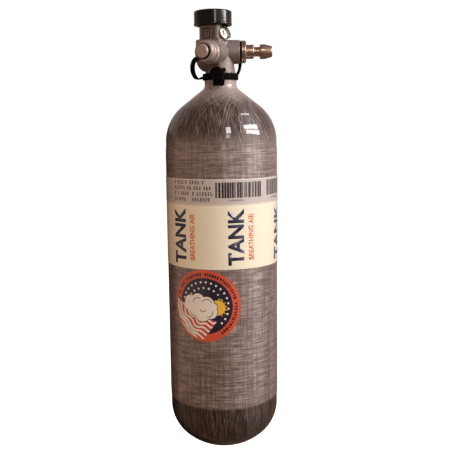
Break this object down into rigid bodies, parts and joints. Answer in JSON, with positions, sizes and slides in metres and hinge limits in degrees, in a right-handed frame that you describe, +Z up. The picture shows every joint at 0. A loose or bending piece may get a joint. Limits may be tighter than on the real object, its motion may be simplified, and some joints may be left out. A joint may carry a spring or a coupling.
{
  "type": "breathing air cylinder with valve",
  "caption": "Composite-wrapped breathing air cylinder with a domed bottom and a neck valve carrying a handwheel, pressure gauge, capped fill port and quick-connect outlet.",
  "frame": {"origin": "lowest point of the cylinder's bottom dome, on the cylinder's axis", "axes": "+Z up along the cylinder's axis to the valve; +X towards the quick-connect outlet; -Y is the front, which the fill cap faces, turned 30 degrees towards -X"},
  "size_m": [0.1416, 0.1417, 0.5586],
  "materials": {
    "liner_aluminium": "satin",
    "carbon_composite": "resin-filled carbon fibre",
    "dome_composite": "clear resin over criss-cross fibres",
    "hoop_composite": "clear resin over hoop-wound fibres",
    "certificate_paper": "printed label under resin",
    "cream_vinyl": "printed label under resin",
    "sticker_vinyl": "printed sticker",
    "satin_nickel": "bead-blasted nickel plate",
    "polished_nickel": "polished",
    "polished_bronze": "polished",
    "stainless_steel": "ground",
    "brass": "turned",
    "copper_foil": "rolled",
    "seal_rubber": "smooth",
    "nylon": "smooth",
    "black_plastic": "fine grain",
    "grip_rubber": "smooth moulded",
    "dial_white": "printed",
    "pointer_black": "painted",
    "clear_lens": "clear",
    "tether_rubber": "moulded"
  },
  "bodies": {
    "cylinder": {"cylinder_liner": "liner_aluminium", "carbon_overwrap": "carbon_composite", "glass_overwrap": "dome_composite", "hoop_winding": "hoop_composite", "certification_label": "certificate_paper", "printed_band": "cream_vinyl", "round_sticker": "sticker_vinyl", "valve_body": "satin_nickel", "neck_o_ring": "seal_rubber", "debris_tube": "brass", "burst_disc_plug": "brass", "burst_disc": "copper_foil", "bonnet_nut": "satin_nickel", "stem_packing": "nylon", "packing_gland": "brass", "gauge_case": "satin_nickel", "gauge_dial": "dial_white", "gauge_lens": "clear_lens", "gauge_bourdon_tube": "brass", "gauge_guard": "tether_rubber", "quick_connect_plug": "polished_bronze", "outlet_o_ring": "seal_rubber", "outlet_check_spring": "stainless_steel", "fill_fitting": "polished_nickel", "fill_check_spring": "stainless_steel", "fill_cap_strap": "tether_rubber", "tether_collar": "tether_rubber", "outlet_strap_ring": "tether_rubber", "outlet_strap": "tether_rubber", "plug_cap_strap": "tether_rubber"},
    "stem": {"valve_stem": "stainless_steel", "handwheel_screw": "stainless_steel", "handwheel_spring": "stainless_steel"},
    "handwheel": {"handwheel_hub": "black_plastic", "handwheel_grip": "grip_rubber", "handwheel_cap": "black_plastic"},
    "seat": {"seat_plug": "brass", "seat_insert": "nylon"},
    "pointer": {"gauge_pointer": "pointer_black"},
    "outlet_check": {"outlet_check_poppet": "brass"},
    "fill_check": {"fill_check_poppet": "brass"},
    "cap_ring": {"fill_cap_ring": "tether_rubber"},
    "fill_cap": {"fill_cap": "polished_nickel", "fill_cap_gasket": "seal_rubber"},
    "plug_cap": {"plug_cap": "tether_rubber"}
  },
  "joints": [
    {"name": "handwheel_turn", "type": "hinge", "parent": "cylinder", "child": "stem", "pos_m": [-0.0086, 0, 0.53], "axis": [0, 0, 1], "range_deg": [0, 900]},
    {"name": "handwheel_press", "type": "slide", "parent": "stem", "child": "handwheel", "axis": [0, 0, -1], "range_m": [0, 0.0015], "stiffness_N_per_m": 1500, "springref_m": -0.002, "deforming": ["handwheel_spring"]},
    {"name": "seat_lift", "type": "slide", "parent": "stem", "child": "seat", "axis": [0, 0, 1], "range_m": [0, 0.003]},
    {"name": "cap_draw", "type": "slide", "parent": "cylinder", "child": "cap_ring", "axis": [-0.5, -0.866, 0], "range_m": [0, 0.00726], "deforming": ["fill_cap_strap"]},
    {"name": "cap_turn", "type": "hinge", "parent": "cap_ring", "child": "fill_cap", "pos_m": [-0.02, -0.03464, 0.507], "axis": [-0.5, -0.866, 0], "range_deg": [0, 1440]},
    {"name": "gauge_pointer_turn", "type": "hinge", "parent": "cylinder", "child": "pointer", "pos_m": [0.0046, -0.0091, 0.5308], "axis": [0.7286, -0.6113, 0.309], "range_deg": [-135, 135]},
    {"name": "outlet_check_slide", "type": "slide", "parent": "cylinder", "child": "outlet_check", "axis": [-1, 0, 0], "range_m": [0, 0.003], "stiffness_N_per_m": 400, "springref_m": -0.003, "deforming": ["outlet_check_spring"]},
    {"name": "fill_check_slide", "type": "slide", "parent": "cylinder", "child": "fill_check", "axis": [0.5, 0.866, 0], "range_m": [0, 0.002], "stiffness_N_per_m": 300, "springref_m": -0.002, "deforming": ["fill_check_spring"]},
    {"name": "plug_cap_pull", "type": "slide", "parent": "cylinder", "child": "plug_cap", "axis": [-0.1219, -0.9925, 0], "range_m": [0, 0.014], "deforming": ["plug_cap_strap"]}
  ],
  "couplings": [
    {"joint": "seat_lift", "follows": "handwheel_turn", "m_per_rad": 0.00019098},
    {"joint": "cap_draw", "follows": "cap_turn", "m_per_rad": 0.0002887}
  ]
}
